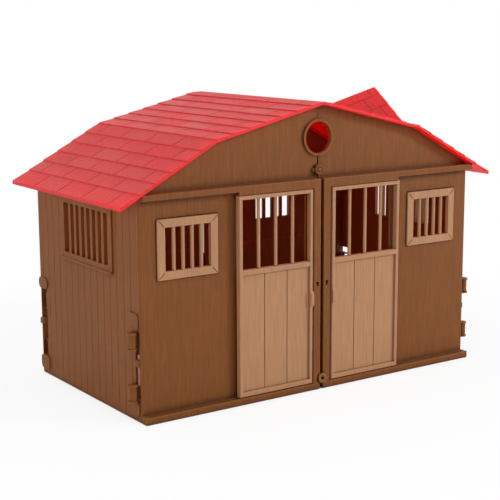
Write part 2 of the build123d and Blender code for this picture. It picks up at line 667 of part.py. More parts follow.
# ---------------------------------------------------------------- roof
def course_edges():
    """Distances from the ridge at which the shingle courses begin and end."""
    upper = KNEE_X / (UPPER_COURSES - 1 + RIDGE_COURSE)
    lower = (EAVE_X - KNEE_X) / (LOWER_COURSES - 1 + EAVE_COURSE)
    edges = [0.0]
    edges += [upper * (number + RIDGE_COURSE) for number in range(UPPER_COURSES)]
    edges += [KNEE_X + lower * (number + 1) for number in range(LOWER_COURSES - 1)]
    return edges + [EAVE_X]


def roof_sheet(edges):
    """Right half of the roof: a stepped outer face over a smooth underside."""
    start = ROOF_SEAM / 2
    profile = [(start, roof_top(start))]
    for outer in edges[1:]:
        profile += [(outer, roof_top(outer) + COURSE_STEP), (outer, roof_top(outer))]
    profile.pop()
    profile += [(EAVE_X, roof_under(EAVE_X)), (KNEE_X, roof_under(KNEE_X)), (start, roof_under(start))]
    return prism_y(profile, ROOF_FRONT, ROOF_REAR)


def shingle_joints(edges):
    """Slits between the shingles, in running bond."""
    slits = []
    for row, (inner, outer) in enumerate(zip(edges, edges[1:])):
        inner = max(inner, ROOF_SEAM / 2)
        low_in = roof_top(inner) - JOINT_DEPTH
        low_out = roof_top(outer) + COURSE_STEP - JOINT_DEPTH
        over = COURSE_STEP + JOINT_DEPTH
        profile = [(inner, low_in), (outer, low_out), (outer, low_out + over), (inner, low_in + over)]
        y = ROOF_FRONT + SHINGLE_W * (1 if row % 2 else 0.5)
        while y < ROOF_REAR - JOINT_W:
            slits.append(prism_y(profile, y - JOINT_W / 2, y + JOINT_W / 2))
            y += SHINGLE_W
    return slits


def roof_ribs():
    """Ribs under the roof that seat it inside the walls."""
    inner = POST_X1 + RIB_H
    outer = SIDE_X - WALL_T - RIB_FIT
    line = [(x, roof_under(x)) for x in (inner, KNEE_X, outer)]
    profile = line + [(x, z - RIB_H) for x, z in reversed(line)]
    front = FRONT_Y + WALL_T + RIB_FIT
    back = BACK_Y - WALL_T - RIB_FIT
    eave = [
        (outer - RIB_T, roof_under(outer - RIB_T)), (outer, roof_under(outer)),
        (outer, roof_under(outer) - RIB_H), (outer - RIB_T, roof_under(outer) - RIB_H),
    ]
    ends = [prism_y(profile, front, front + RIB_T), prism_y(profile, back - RIB_T, back)]
    return ends + [prism_y(eave, front, back)]


def plain_roof():
    """Right roof half without its dormer."""
    edges = course_edges()
    roof = roof_sheet(edges) - shingle_joints(edges) + roof_ribs()
    notch = ROOF_REAR - HINGE_Y + RIDGE_NOTCH_EXTRA
    corner = make_face(Polyline((0, ROOF_REAR), (notch, ROOF_REAR), (0, ROOF_REAR - notch), close=True))
    return roof - extrude(Pos(0, 0, EAVE_Z) * corner, amount=APEX_Z)


# ---------------------------------------------------------------- dormer
def dormer_ridge(x):
    """Height of the dormer's ridge."""
    return roof_top(DORMER_HINGE_X) + DORMER_PITCH * (x - DORMER_HINGE_X)


def valley_half_width(x):
    """How far the dormer reaches sideways where its faces meet the roof."""
    return (dormer_ridge(x) - roof_top(x)) / (DORMER_FALL * DORMER_SLOPE)


def ridge_plane(x):
    """Plane square to the dormer's ridge: its x runs sideways and its y away from the roof."""
    origin = Vector(x, DORMER_Y, dormer_ridge(x))
    return Plane(origin, x_dir=(0, 1, 0), z_dir=(1, 0, DORMER_PITCH))


def along_ridge(face, x0, length):
    """A face drawn square to the ridge, extruded along it."""
    return extrude(ridge_plane(x0) * face, amount=length)


def face_point(distance, proud):
    """A point of the dormer's section: distance down its face, and height over it."""
    share = hypot(1, DORMER_FALL)
    side = (distance + proud * DORMER_FALL) / share
    return side, (proud - distance * DORMER_FALL) / share


def gable_face(below, distance):
    """Plain gabled section, a given thickness below the dormer's faces."""
    side, height = face_point(distance, 0)
    drop = below * hypot(1, DORMER_FALL)
    return make_face(Polyline((0, -drop), (side, height - drop), (-side, height - drop), close=True))


def dormer_courses():
    """Distances down the dormer's face at which its courses begin and end."""
    edges = [0.0, DORMER_COURSE * DORMER_RIDGE_COURSE]
    while len(edges) <= DORMER_COURSES:
        edges.append(edges[-1] + DORMER_COURSE)
    return edges


def stepped_face(edges):
    """Gabled section with the shingles' proud lower edges on both faces."""
    side = [(0, 0)]
    for edge in edges[1:]:
        side += [face_point(edge, DORMER_STEP), face_point(edge, 0)]
    other = [(-across, height) for across, height in reversed(side[1:])]
    return make_face(Polyline(*side, *other, close=True))


def dormer_slits(edges, x0, length):
    """Slits between the dormer's shingles."""
    slits = []
    over = DORMER_STEP + JOINT_DEPTH
    for row, (start, end) in enumerate(zip(edges, edges[1:])):
        corners = [face_point(start, -JOINT_DEPTH), face_point(end, DORMER_STEP - JOINT_DEPTH)]
        corners += [face_point(end, over), face_point(start, over)]
        mirrored = [(-across, height) for across, height in corners]
        cuts = [make_face(Polyline(*points, close=True)) for points in (corners, mirrored)]
        place = length - DORMER_SHINGLE_W * (1 if row % 2 else 0.5)
        while place > 0:
            x = x0 + place / DORMER_SLOPE
            slits += [along_ridge(cut, x, JOINT_W) for cut in cuts]
            place -= DORMER_SHINGLE_W
    return slits


def roof_mass(lift):
    """Everything under the main roof's outer surface, raised by a clearance."""
    start = DORMER_HINGE_X - 2 * HATCH_MARGIN
    line = [(x, roof_top(x) + lift) for x in (start, KNEE_X, EAVE_X)]
    return prism_y(line + [(EAVE_X, 0), (start, 0)], ROOF_FRONT, ROOF_REAR)


def dormer_axis():
    """X and z of the dormer's hinge pin."""
    x = DORMER_HINGE_X - DORMER_PIN_D
    return x, roof_top(x) + DORMER_PIN_LIFT


def dormer_strap(end_x):
    """Strap from the lid to the knuckle that turns on the dormer's hinge pin."""
    axis_x, axis_z = dormer_axis()
    half = DORMER_KNUCKLE_L / 2
    profile = [
        (axis_x, axis_z + DORMER_KNUCKLE_D / 2), (end_x, dormer_ridge(end_x) + DORMER_STEP),
        (end_x, dormer_ridge(end_x) - DORMER_T), (axis_x, axis_z),
    ]
    return prism_y(profile, DORMER_Y - half, DORMER_Y + half)


def dormer_roof():
    """Shingled gabled lid, hinged at the inner end of its ridge."""
    x0 = DORMER_HINGE_X + DORMER_START
    length = (DORMER_HINGE_X + DORMER_RUN - x0) * DORMER_SLOPE
    edges = dormer_courses()
    lid = along_ridge(stepped_face(edges), x0, length)
    lid -= along_ridge(gable_face(DORMER_T, edges[-1] + DORMER_COURSE), x0, length)
    lid -= dormer_slits(edges, x0, length)
    lid += dormer_strap(x0 + DORMER_KNUCKLE_L)
    lid -= roof_mass(COURSE_STEP + DORMER_GAP)
    axis_x, axis_z = dormer_axis()
    ends = (DORMER_Y - DORMER_KNUCKLE_L / 2, DORMER_Y + DORMER_KNUCKLE_L / 2)
    lid += rod_y(axis_x, axis_z, DORMER_KNUCKLE_D, *ends)
    return lid - rod_y(axis_x, axis_z, DORMER_PIN_D + 2 * HINGE_FIT, *ends)


def dormer_lugs():
    """Two lugs on the roof that hold the dormer's hinge pin."""
    axis_x, axis_z = dormer_axis()
    radius = DORMER_KNUCKLE_D / 2
    near = DORMER_KNUCKLE_L / 2 + DORMER_GAP
    lugs = []
    for side in (-1, 1):
        ends = sorted((DORMER_Y + side * near, DORMER_Y + side * (near + DORMER_LUG_L)))
        foot = block(axis_x - radius, axis_x + radius, *ends, roof_under(axis_x + 2 * radius), axis_z)
        lug = rod_y(axis_x, axis_z, DORMER_KNUCKLE_D, *ends) + foot
        lugs.append(lug - rod_y(axis_x, axis_z, DORMER_PIN_D, *ends))
    return lugs


def dormer_hinge_pin():
    """Steel pin through the dormer's knuckle, pressed into the two lugs."""
    reach = DORMER_KNUCKLE_L / 2 + DORMER_GAP + DORMER_LUG_L
    return rod_y(*dormer_axis(), DORMER_PIN_D, DORMER_Y - reach, DORMER_Y + reach)


def hatch_opening():
    """Opening in the roof under the dormer, narrower towards the ridge."""
    inner = DORMER_HINGE_X + DORMER_START + 2 * DORMER_KNUCKLE_L
    outer = DORMER_HINGE_X + DORMER_RUN - GABLE_INSET
    sides = [(x, valley_half_width(x) - HATCH_MARGIN) for x in (inner, KNEE_X, outer)]
    left = [(x, DORMER_Y - half) for x, half in sides]
    right = [(x, DORMER_Y + half) for x, half in reversed(sides)]
    outline = make_face(Polyline(*left, *right, close=True))
    return extrude(Pos(0, 0, roof_under(outer) - RIB_H) * outline, amount=APEX_Z)


def dormer_gable():
    """Boarded triangular wall at the dormer's outer end; its foot fills the opening's edge."""
    outer = DORMER_HINGE_X + DORMER_RUN - GABLE_INSET
    inner = outer - GABLE_T
    length = DORMER_RUN * DORMER_SLOPE
    space = along_ridge(gable_face(DORMER_T + DORMER_GAP, length), DORMER_HINGE_X, length)
    slab = block(inner, outer, ROOF_FRONT, ROOF_REAR, 0, APEX_Z + DORMER_RISE)
    gable = (space & slab) - roof_mass(COURSE_STEP)
    half = valley_half_width(outer) - HATCH_MARGIN - GABLE_T
    foot_top = roof_top(outer) + COURSE_STEP + GABLE_T
    foot = block(inner, outer, DORMER_Y - half, DORMER_Y + half, roof_under(outer), foot_top)
    boards = int(half / PLANK_PITCH)
    slits = []
    for number in range(-boards, boards + 1):
        y = DORMER_Y + number * PLANK_PITCH
        ends = (y - PLANK_SLIT / 2, y + PLANK_SLIT / 2)
        slits.append(block(outer - PLANK_DEPTH, outer, *ends, roof_top(outer) + COURSE_STEP, APEX_Z))
    return gable + foot - slits


def right_roof():
    """Right roof half, open under the dormer, with the dormer's hinge lugs."""
    return plain_roof() - hatch_opening() + dormer_lugs()


# ---------------------------------------------------------------- the whole barn
def build():
    """Every piece of the barn, by name."""
    top_catch = FRONT_Y - CATCH_T
    low_catch = TRACK_Y - CATCH_LOW_PROUD
    front = front_left_wall() - keyhole()
    left_front = with_peg(with_peg(front, CATCH_TOP_Z, top_catch, 0), CATCH_LOW_Z, low_catch, PEG_SINK)
    right_front = with_catch(with_catch(flipped(front), CATCH_TOP_Z, top_catch), CATCH_LOW_Z, low_catch)
    back = back_left_wall()
    side = side_wall()
    door = left_door()
    window = left_window_frame()
    pieces = {
        "front_left_wall": left_front,
        "front_right_wall": right_front,
        "left_wall": side,
        "right_wall": flipped(side),
        "back_left_wall": with_knuckles(back, -1, 0),
        "back_right_wall": with_knuckles(flipped(back), 1, 1),
        "left_roof": flipped(plain_roof()),
        "right_roof": right_roof(),
        "left_door": door,
        "right_door": Pos(DOOR_AJAR, 0, 0) * flipped(door),
        "left_window_frame": window,
        "right_window_frame": flipped(window),
        "back_hinge_pin": back_hinge_pin(),
        "dormer_roof": dormer_roof(),
        "dormer_gable": dormer_gable(),
        "dormer_hinge_pin": dormer_hinge_pin(),
    }
    for name, corner in (("front", FRONT_CORNER), ("back", BACK_CORNER)):
        pins = corner.pins()
        pieces[f"{name}_left_corner_pin"] = pins
        pieces[f"{name}_right_corner_pin"] = flipped(pins)
    return pieces


os.makedirs("parts", exist_ok=True)
for name, piece in build().items():
    export_step(piece, f"parts/{name}.step")
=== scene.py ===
"""Finishes, light and camera for a toy barn whose two halves swing apart.

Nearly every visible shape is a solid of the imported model. This script gives each of them its
moulded plastic or steel finish, adds the covers of the two catches, and sets a pale studio
around the barn.
"""
from __future__ import annotations

import logging
import math
from dataclasses import dataclass, field, replace
from enum import Enum
from typing import Any

import bmesh
import bpy
from mathutils import Matrix, Vector


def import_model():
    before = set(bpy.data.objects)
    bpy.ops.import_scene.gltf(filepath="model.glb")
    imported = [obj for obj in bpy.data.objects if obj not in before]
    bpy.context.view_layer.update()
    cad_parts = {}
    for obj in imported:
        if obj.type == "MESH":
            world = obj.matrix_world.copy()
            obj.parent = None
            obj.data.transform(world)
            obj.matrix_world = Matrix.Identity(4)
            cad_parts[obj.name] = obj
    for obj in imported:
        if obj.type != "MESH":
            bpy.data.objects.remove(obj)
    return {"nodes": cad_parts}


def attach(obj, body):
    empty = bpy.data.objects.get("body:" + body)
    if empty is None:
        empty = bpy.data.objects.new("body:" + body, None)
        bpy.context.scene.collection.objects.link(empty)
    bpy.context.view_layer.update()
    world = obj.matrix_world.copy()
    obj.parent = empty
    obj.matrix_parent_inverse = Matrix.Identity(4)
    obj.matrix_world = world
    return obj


frame: dict[str, Any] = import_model()

LOG = logging.getLogger("toy_barn")
WHITE = (1.0, 1.0, 1.0, 1.0)
FINE_GRAIN = 1000.0
BROAD_GRAIN = 520.0
CLOUD_SCALE = 9.0
SMEAR_SCALE = 60.0
# How strongly a rounded edge turns into the painted edge colour.
EDGE_CONTRAST = 3.0
# How strongly occlusion turns into painted shade.
PAINTED_SHADE_CONTRAST = 1.4
MIDDLE = 0.5
Colour = tuple[float, float, float]
Triple = tuple[float, float, float]


class Socket(Enum):
    """Kinds of socket on a shader node group."""

    NUMBER = "NodeSocketFloat"
    COLOUR = "NodeSocketColor"
    VECTOR = "NodeSocketVector"


class Slot(Enum):
    """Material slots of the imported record."""

    BROWN = "brown_plastic"
    TAN = "tan_plastic"
    RED = "red_plastic"
    STEEL = "steel"


def linear(red: int, green: int, blue: int) -> Colour:
    """Turn a display colour into scene-linear values.

    Args:
        red: Display red, 0 to 255.
        green: Display green, 0 to 255.
        blue: Display blue, 0 to 255.

    Returns:
        The three linear channels.
    """
    def channel(value: int) -> float:
        """Turn one display channel into its linear value."""
        share = value / 255.0
        return share / 12.92 if share <= 0.04045 else ((share + 0.055) / 1.055) ** 2.4

    return channel(red), channel(green), channel(blue)


class NodeBench:
    """Adds nodes and links to one node tree."""

    def __init__(self, tree: bpy.types.NodeTree) -> None:
        """Keep the tree that the nodes go into."""
        self.tree = tree

    def node(self, kind: str, **settings: Any) -> bpy.types.Node:
        """Add a node and set its properties.

        Args:
            kind: Node type.
            settings: Property values.

        Returns:
            The new node.
        """
        made = self.tree.nodes.new(kind)
        for key, value in settings.items():
            setattr(made, key, value)
        return made

    def feed(self, target: bpy.types.NodeSocket, value: Any) -> None:
        """Link a socket to an input, or set the input to a plain value.

        Args:
            target: Input socket.
            value: Output socket or plain value.
        """
        if isinstance(value, bpy.types.NodeSocket):
            self.tree.links.new(value, target)
        else:
            target.default_value = value

    def math(self, operation: str, *values: Any, clamp: bool = False) -> bpy.types.NodeSocket:
        """Add a math node.

        Args:
            operation: Math operation.
            values: Numbers or output sockets, one for each operand.
            clamp: Whether the result stays between 0 and 1.

        Returns:
            The result's socket.
        """
        made = self.node("ShaderNodeMath", operation=operation, use_clamp=clamp)
        for target, value in zip(made.inputs, values):
            self.feed(target, value)
        return made.outputs[0]

    def noise(self, vector: Any, scale: float, detail: float, roughness: float) -> bpy.types.NodeSocket:
        """Add a noise texture.

        Args:
            vector: Coordinates.
            scale: Noise scale.
            detail: Octaves.
            roughness: Octave roughness.

        Returns:
            The noise value's socket.
        """
        made = self.node("ShaderNodeTexNoise")
        self.feed(made.inputs["Vector"], vector)
        self.feed(made.inputs["Scale"], scale)
        self.feed(made.inputs["Detail"], detail)
        self.feed(made.inputs["Roughness"], roughness)
        return made.outputs["Fac"]

    def stretched(self, vector: Any, stretch: Any) -> bpy.types.NodeSocket:
        """Multiply coordinates axis by axis.

        Args:
            vector: Coordinates.
            stretch: Factors for X, Y and Z.

        Returns:
            The stretched coordinates' socket.
        """
        made = self.node("ShaderNodeVectorMath", operation="MULTIPLY")
        self.feed(made.inputs[0], vector)
        self.feed(made.inputs[1], stretch)
        return made.outputs[0]

    def mixed(self, share: Any, first: Any, second: Any) -> bpy.types.NodeSocket:
        """Mix two colours.

        Args:
            share: Share of the second colour.
            first: First colour.
            second: Second colour.

        Returns:
            The mixed colour's socket.
        """
        made = self.node("ShaderNodeMix", data_type="RGBA")
        self.feed(made.inputs["Factor"], share)
        self.feed(made.inputs["A"], first)
        self.feed(made.inputs["B"], second)
        return made.outputs["Result"]

    def group(self, source: bpy.types.NodeTree, **values: Any) -> bpy.types.Node:
        """Place a shared group and feed its inputs.

        Args:
            source: The group.
            values: Value or socket of each input, by name.

        Returns:
            The group's node.
        """
        made = self.node("ShaderNodeGroup", node_tree=source)
        for name, value in values.items():
            self.feed(made.inputs[name], value)
        return made


class GroupBench(NodeBench):
    """Builds one shader node group with named inputs and outputs."""

    def __init__(self, name: str) -> None:
        """Start an empty group.

        Args:
            name: Name of the group.
        """
        super().__init__(bpy.data.node_groups.new(name, "ShaderNodeTree"))
        self.entry = self.node("NodeGroupInput")
        self.exit = self.node("NodeGroupOutput")

    def takes(self, name: str, kind: Socket, default: Any = None) -> bpy.types.NodeSocket:
        """Add an input.

        Args:
            name: Input name.
            kind: Kind of socket.
            default: Default value.

        Returns:
            The socket that carries the input inside the group.
        """
        made = self.tree.interface.new_socket(name=name, in_out="INPUT", socket_type=kind.value)
        if default is not None:
            made.default_value = default
        return self.entry.outputs[name]

    def gives(self, name: str, kind: Socket, value: bpy.types.NodeSocket) -> None:
        """Add an output and link it.

        Args:
            name: Output name.
            kind: Kind of socket.
            value: Socket inside the group.
        """
        self.tree.interface.new_socket(name=name, in_out="OUTPUT", socket_type=kind.value)
        self.feed(self.exit.inputs[name], value)


def moulded_grain_group() -> bpy.types.NodeTree:
    """Build the moulded grain: fine fibres among slightly broader ones.

    Returns:
        A group with inputs Vector and Stretch and outputs Height and Tone.
    """
    bench = GroupBench("moulded_grain")
    vector = bench.takes("Vector", Socket.VECTOR)
    stretch = bench.takes("Stretch", Socket.VECTOR, (1.0, 1.0, 0.03))
    along = bench.stretched(vector, stretch)
    fine = bench.noise(along, FINE_GRAIN, 2.0, 0.65)
    broad = bench.noise(along, BROAD_GRAIN, 2.0, 0.6)
    height = bench.math("MULTIPLY_ADD", fine, 0.5, bench.math("MULTIPLY", broad, 0.5))
    bench.gives("Height", Socket.NUMBER, height)
    bench.gives("Tone", Socket.NUMBER, bench.math("SUBTRACT", height, MIDDLE))
    return bench.tree


def handling_group() -> bpy.types.NodeTree:
    """Build the soft mottling and the handling marks shared by every finish.

    Returns:
        A group with input Vector and outputs Tone and Gloss.
    """
    bench = GroupBench("handling_marks")
    vector = bench.takes("Vector", Socket.VECTOR)
    cloud = bench.noise(vector, CLOUD_SCALE, 4.0, 0.55)
    smear = bench.noise(vector, SMEAR_SCALE, 5.0, 0.6)
    bench.gives("Tone", Socket.NUMBER, bench.math("SUBTRACT", cloud, MIDDLE))
    bench.gives("Gloss", Socket.NUMBER, bench.math("SUBTRACT", smear, MIDDLE))
    return bench.tree


def rounded_edge_group() -> bpy.types.NodeTree:
    """Build the rounded edge shared by every moulded piece.

    Returns:
        A group with input Radius and outputs Normal and Edge; Edge is 1 on a sharp edge and sets where the
        painted edge colour goes.
    """
    bench = GroupBench("rounded_edge")
    bevel = bench.node("ShaderNodeBevel", samples=6)
    bench.feed(bevel.inputs["Radius"], bench.takes("Radius", Socket.NUMBER, 0.0005))
    turn = bench.node("ShaderNodeVectorMath", operation="DOT_PRODUCT")
    bench.feed(turn.inputs[0], bevel.outputs["Normal"])
    bench.feed(turn.inputs[1], bench.node("ShaderNodeNewGeometry").outputs["Normal"])
    bend = bench.math("SUBTRACT", 1.0, turn.outputs["Value"])
    bench.gives("Edge", Socket.NUMBER, bench.math("MULTIPLY", bend, EDGE_CONTRAST, clamp=True))
    bench.gives("Normal", Socket.VECTOR, bevel.outputs["Normal"])
    return bench.tree


def painted_shade_group() -> bpy.types.NodeTree:
    """Build the painted shade: an ambient-occlusion mask, strong in grooves, seams, inner corners and
    beside parts that stand proud.

    Returns:
        A group with input Reach and output Mask, which is 1 where nearby surfaces shut out most light.
    """
    bench = GroupBench("painted_shade_occlusion")
    nearby = bench.node("ShaderNodeAmbientOcclusion", samples=8, only_local=False)
    bench.feed(nearby.inputs["Distance"], bench.takes("Reach", Socket.NUMBER, 0.002))
    closed = bench.math("SUBTRACT", 1.0, nearby.outputs["AO"])
    bench.gives("Mask", Socket.NUMBER, bench.math("MULTIPLY", closed, PAINTED_SHADE_CONTRAST, clamp=True))
    return bench.tree


@dataclass(frozen=True)
class ShingleLayout:
    """Sizes of the roof's moulded shingles, in metres, with the courses counted from the ridge."""

    ridge_course: float = 0.01404
    upper_course: float = 0.017126
    upper_courses: float = 7.0
    knee: float = 0.1168
    lower_course: float = 0.015398
    width: float = 0.048
    front: float = -0.1085

    def group(self) -> bpy.types.NodeTree:
        """Build a tone that steps from one moulded shingle to the next.

        Returns:
            A group with input Vector and output Tone, from -0.5 to 0.5.
        """
        bench = GroupBench("shingle_tones")
        split = bench.node("ShaderNodeSeparateXYZ")
        bench.feed(split.inputs[0], bench.takes("Vector", Socket.VECTOR))
        course = self.course(bench, bench.math("ABSOLUTE", split.outputs["X"]))
        odd = bench.math("MODULO", course, 2.0)
        along = bench.math("DIVIDE", bench.math("SUBTRACT", split.outputs["Y"], self.front), self.width)
        shifted = bench.math("MULTIPLY_ADD", odd, -0.5, bench.math("ADD", along, 0.5))
        cell = bench.node("ShaderNodeCombineXYZ")
        slope = bench.math("SIGN", split.outputs["X"])
        for target, value in zip(cell.inputs, (course, bench.math("FLOOR", shifted), slope)):
            bench.feed(target, value)
        chance = bench.node("ShaderNodeTexWhiteNoise", noise_dimensions="3D")
        bench.feed(chance.inputs["Vector"], cell.outputs[0])
        bench.gives("Tone", Socket.NUMBER, bench.math("SUBTRACT", chance.outputs["Value"], MIDDLE))
        return bench.tree

    def course(self, bench: GroupBench, out: bpy.types.NodeSocket) -> bpy.types.NodeSocket:
        """Count the courses down a slope.

        Args:
            bench: The group's nodes.
            out: Distance from the ridge.

        Returns:
            The socket of the course's number.
        """
        from_ridge = bench.math("ADD", out, self.upper_course - self.ridge_course)
        above = bench.math("FLOOR", bench.math("DIVIDE", from_ridge, self.upper_course))
        from_knee = bench.math("SUBTRACT", out, self.knee)
        below = bench.math("FLOOR", bench.math("DIVIDE", from_knee, self.lower_course))
        past = bench.math("GREATER_THAN", out, self.knee)
        step = bench.math("SUBTRACT", bench.math("ADD", below, self.upper_courses), above)
        return bench.math("MULTIPLY_ADD", past, step, above)


def plastic_colour_group() -> bpy.types.NodeTree:
    """Build the colour of a plastic: its own, a painted edge colour along edges (a painted highlight on
    brown and tan) and painted shade in grooves and corners.

    Returns:
        A group with inputs Body, the painted edge colour, the painted shade colour, Tone, Edge and the
        painted shade mask, and output Colour.
    """
    bench = GroupBench("plastic_colour")
    body = bench.takes("Body", Socket.COLOUR)
    painted_edge = bench.takes("PaintedEdge", Socket.COLOUR)
    painted_shade_colour = bench.takes("PaintedShadeColour", Socket.COLOUR)
    tone = bench.takes("Tone", Socket.NUMBER, 1.0)
    edge = bench.takes("Edge", Socket.NUMBER, 0.0)
    painted_shade = bench.takes("PaintedShade", Socket.NUMBER, 0.0)
    toned = bench.node("ShaderNodeVectorMath", operation="SCALE")
    bench.feed(toned.inputs[0], bench.mixed(edge, body, painted_edge))
    bench.feed(toned.inputs["Scale"], tone)
    bench.gives("Colour", Socket.COLOUR, bench.mixed(painted_shade, toned.outputs[0], painted_shade_colour))
    return bench.tree


@dataclass(frozen=True)
class Patterns:
    """The node groups that the finishes share."""

    grain: bpy.types.NodeTree = field(default_factory=moulded_grain_group)
    marks: bpy.types.NodeTree = field(default_factory=handling_group)
    edge: bpy.types.NodeTree = field(default_factory=rounded_edge_group)
    # Ambient-occlusion mask for the painted shade in grooves and corners.
    painted_shade: bpy.types.NodeTree = field(default_factory=painted_shade_group)
    colour: bpy.types.NodeTree = field(default_factory=plastic_colour_group)
    shingles: bpy.types.NodeTree = field(default_factory=ShingleLayout().group)


@dataclass(frozen=True)
class MouldedPlastic:
    """Satin plastic with moulded grain, soft mottling, a painted edge colour and painted shade in grooves
    and corners.
    """

    name: str
    body: Colour
    painted_edge: Colour
    painted_shade_colour: Colour
    roughness: float
    grain_stretch: Triple = (1.0, 1.0, 0.05)
    grain_depth: float = 0.00016
    grain_tone: float = 1.1
    mottle: float = 0.16
    smear: float = 0.18
    # The edge radius rounds the shading normal and sets the band that takes the painted edge colour, a
    # painted highlight on brown and tan.
    edge_radius: float = 0.0008
    edge_share: float = 0.8
    # Reach and share of the painted shade in grooves, seams, corners and beside proud parts.
    painted_shade_reach: float = 0.006
    painted_shade_share: float = 0.85
    shingle_tone: float = 0.0
    shingle_gloss: float = 0.0
    specular: float = 0.22
    glow: float = 0.5
    glow_reach: float = 0.003
    glow_radius: Triple = (1.0, 0.3, 0.1)
    passing: float = 0.0
    passed_colour: Colour = (1.0, 0.2, 0.08)

    def material(self, patterns: Patterns) -> bpy.types.Material:
        """Build the material.

        Args:
            patterns: The shared node groups.

        Returns:
            The new material.
        """
        made = bpy.data.materials.new(self.name)
        made.use_nodes = True
        bench = NodeBench(made.node_tree)
        shader = made.node_tree.nodes["Principled BSDF"]
        place = bench.node("ShaderNodeTexCoord").outputs["Object"]
        grain = bench.group(patterns.grain, Vector=place, Stretch=self.grain_stretch)
        marks = bench.group(patterns.marks, Vector=place)
        edge = bench.group(patterns.edge, Radius=self.edge_radius)
        painted_shade = bench.group(patterns.painted_shade, Reach=self.painted_shade_reach)
        tone = bench.math("MULTIPLY_ADD", grain.outputs["Tone"], self.grain_tone, 1.0)
        tone = bench.math("MULTIPLY_ADD", marks.outputs["Tone"], self.mottle, tone)
        gloss = bench.math("MULTIPLY_ADD", marks.outputs["Gloss"], self.smear, self.roughness)
        if self.shingle_tone:
            shingle = bench.group(patterns.shingles, Vector=place).outputs["Tone"]
            tone = bench.math("MULTIPLY_ADD", shingle, self.shingle_tone, tone)
            gloss = bench.math("MULTIPLY_ADD", shingle, self.shingle_gloss, gloss)
        # Edges take the painted edge colour; grooves, corners and the wall beside proud parts take painted
        # shade.
        colour = bench.group(
            patterns.colour,
            Body=(*self.body, 1.0),
            PaintedEdge=(*self.painted_edge, 1.0),
            PaintedShadeColour=(*self.painted_shade_colour, 1.0),
            Tone=tone,
            Edge=bench.math("MULTIPLY", edge.outputs["Edge"], self.edge_share),
            PaintedShade=bench.math("MULTIPLY", painted_shade.outputs["Mask"], self.painted_shade_share),
        )
        bench.feed(shader.inputs["Base Color"], colour.outputs["Colour"])
        bench.feed(shader.inputs["Roughness"], gloss)
        bump = bench.node("ShaderNodeBump")
        bench.feed(bump.inputs["Distance"], self.grain_depth)
        bench.feed(bump.inputs["Height"], grain.outputs["Height"])
        bench.feed(bump.inputs["Normal"], edge.outputs["Normal"])
        bench.feed(shader.inputs["Normal"], bump.outputs["Normal"])
        bench.feed(shader.inputs["Specular IOR Level"], self.specular)
        bench.feed(shader.inputs["Subsurface Weight"], self.glow)
        bench.feed(shader.inputs["Subsurface Scale"], self.glow_reach)
        bench.feed(shader.inputs["Subsurface Radius"], self.glow_radius)
        if self.passing:
            self.let_light_through(bench)
        return made

    def let_light_through(self, bench: NodeBench) -> None:
        """Let light that bounces inside the barn come through the plastic in its own colour.

        Args:
            bench: The material's nodes.
        """
        through = bench.node("ShaderNodeBsdfTranslucent")
        bench.feed(through.inputs["Color"], (*self.passed_colour, 1.0))
        bounced = bench.math("SUBTRACT", 1.0, bench.node("ShaderNodeLightPath").outputs["Is Camera Ray"])
        mix = bench.node("ShaderNodeMixShader")
        bench.feed(mix.inputs["Fac"], bench.math("MULTIPLY", bounced, self.passing))
        bench.feed(mix.inputs[1], bench.tree.nodes["Principled BSDF"].outputs[0])
        bench.feed(mix.inputs[2], through.outputs[0])
        bench.feed(bench.tree.nodes["Material Output"].inputs["Surface"], mix.outputs[0])


@dataclass(frozen=True)
class DrawnSteel:
    """Plain drawn wire with faint lines along it."""

    name: str
    body: Colour
    roughness: float
    line_tone: float = 0.5
    smear: float = 0.3

    def material(self, patterns: Patterns) -> bpy.types.Material:
        """Build the material.

        Args:
            patterns: The shared node groups.

        Returns:
            The new material.
        """
        made = bpy.data.materials.new(self.name)
        made.use_nodes = True
        bench = NodeBench(made.node_tree)
        shader = made.node_tree.nodes["Principled BSDF"]
        place = bench.node("ShaderNodeTexCoord").outputs["Object"]
        marks = bench.group(patterns.marks, Vector=place)
        lines = bench.group(patterns.grain, Vector=place)
        tone = bench.math("MULTIPLY_ADD", lines.outputs["Tone"], self.line_tone, 1.0)
        colour = bench.node("ShaderNodeVectorMath", operation="SCALE")
        bench.feed(colour.inputs[0], self.body)
        bench.feed(colour.inputs["Scale"], tone)
        bench.feed(shader.inputs["Base Color"], colour.outputs[0])
        rough = bench.math("MULTIPLY_ADD", marks.outputs["Gloss"], self.smear, self.roughness)
        bench.feed(shader.inputs["Roughness"], rough)
        bench.feed(shader.inputs["Metallic"], 1.0)
        return made


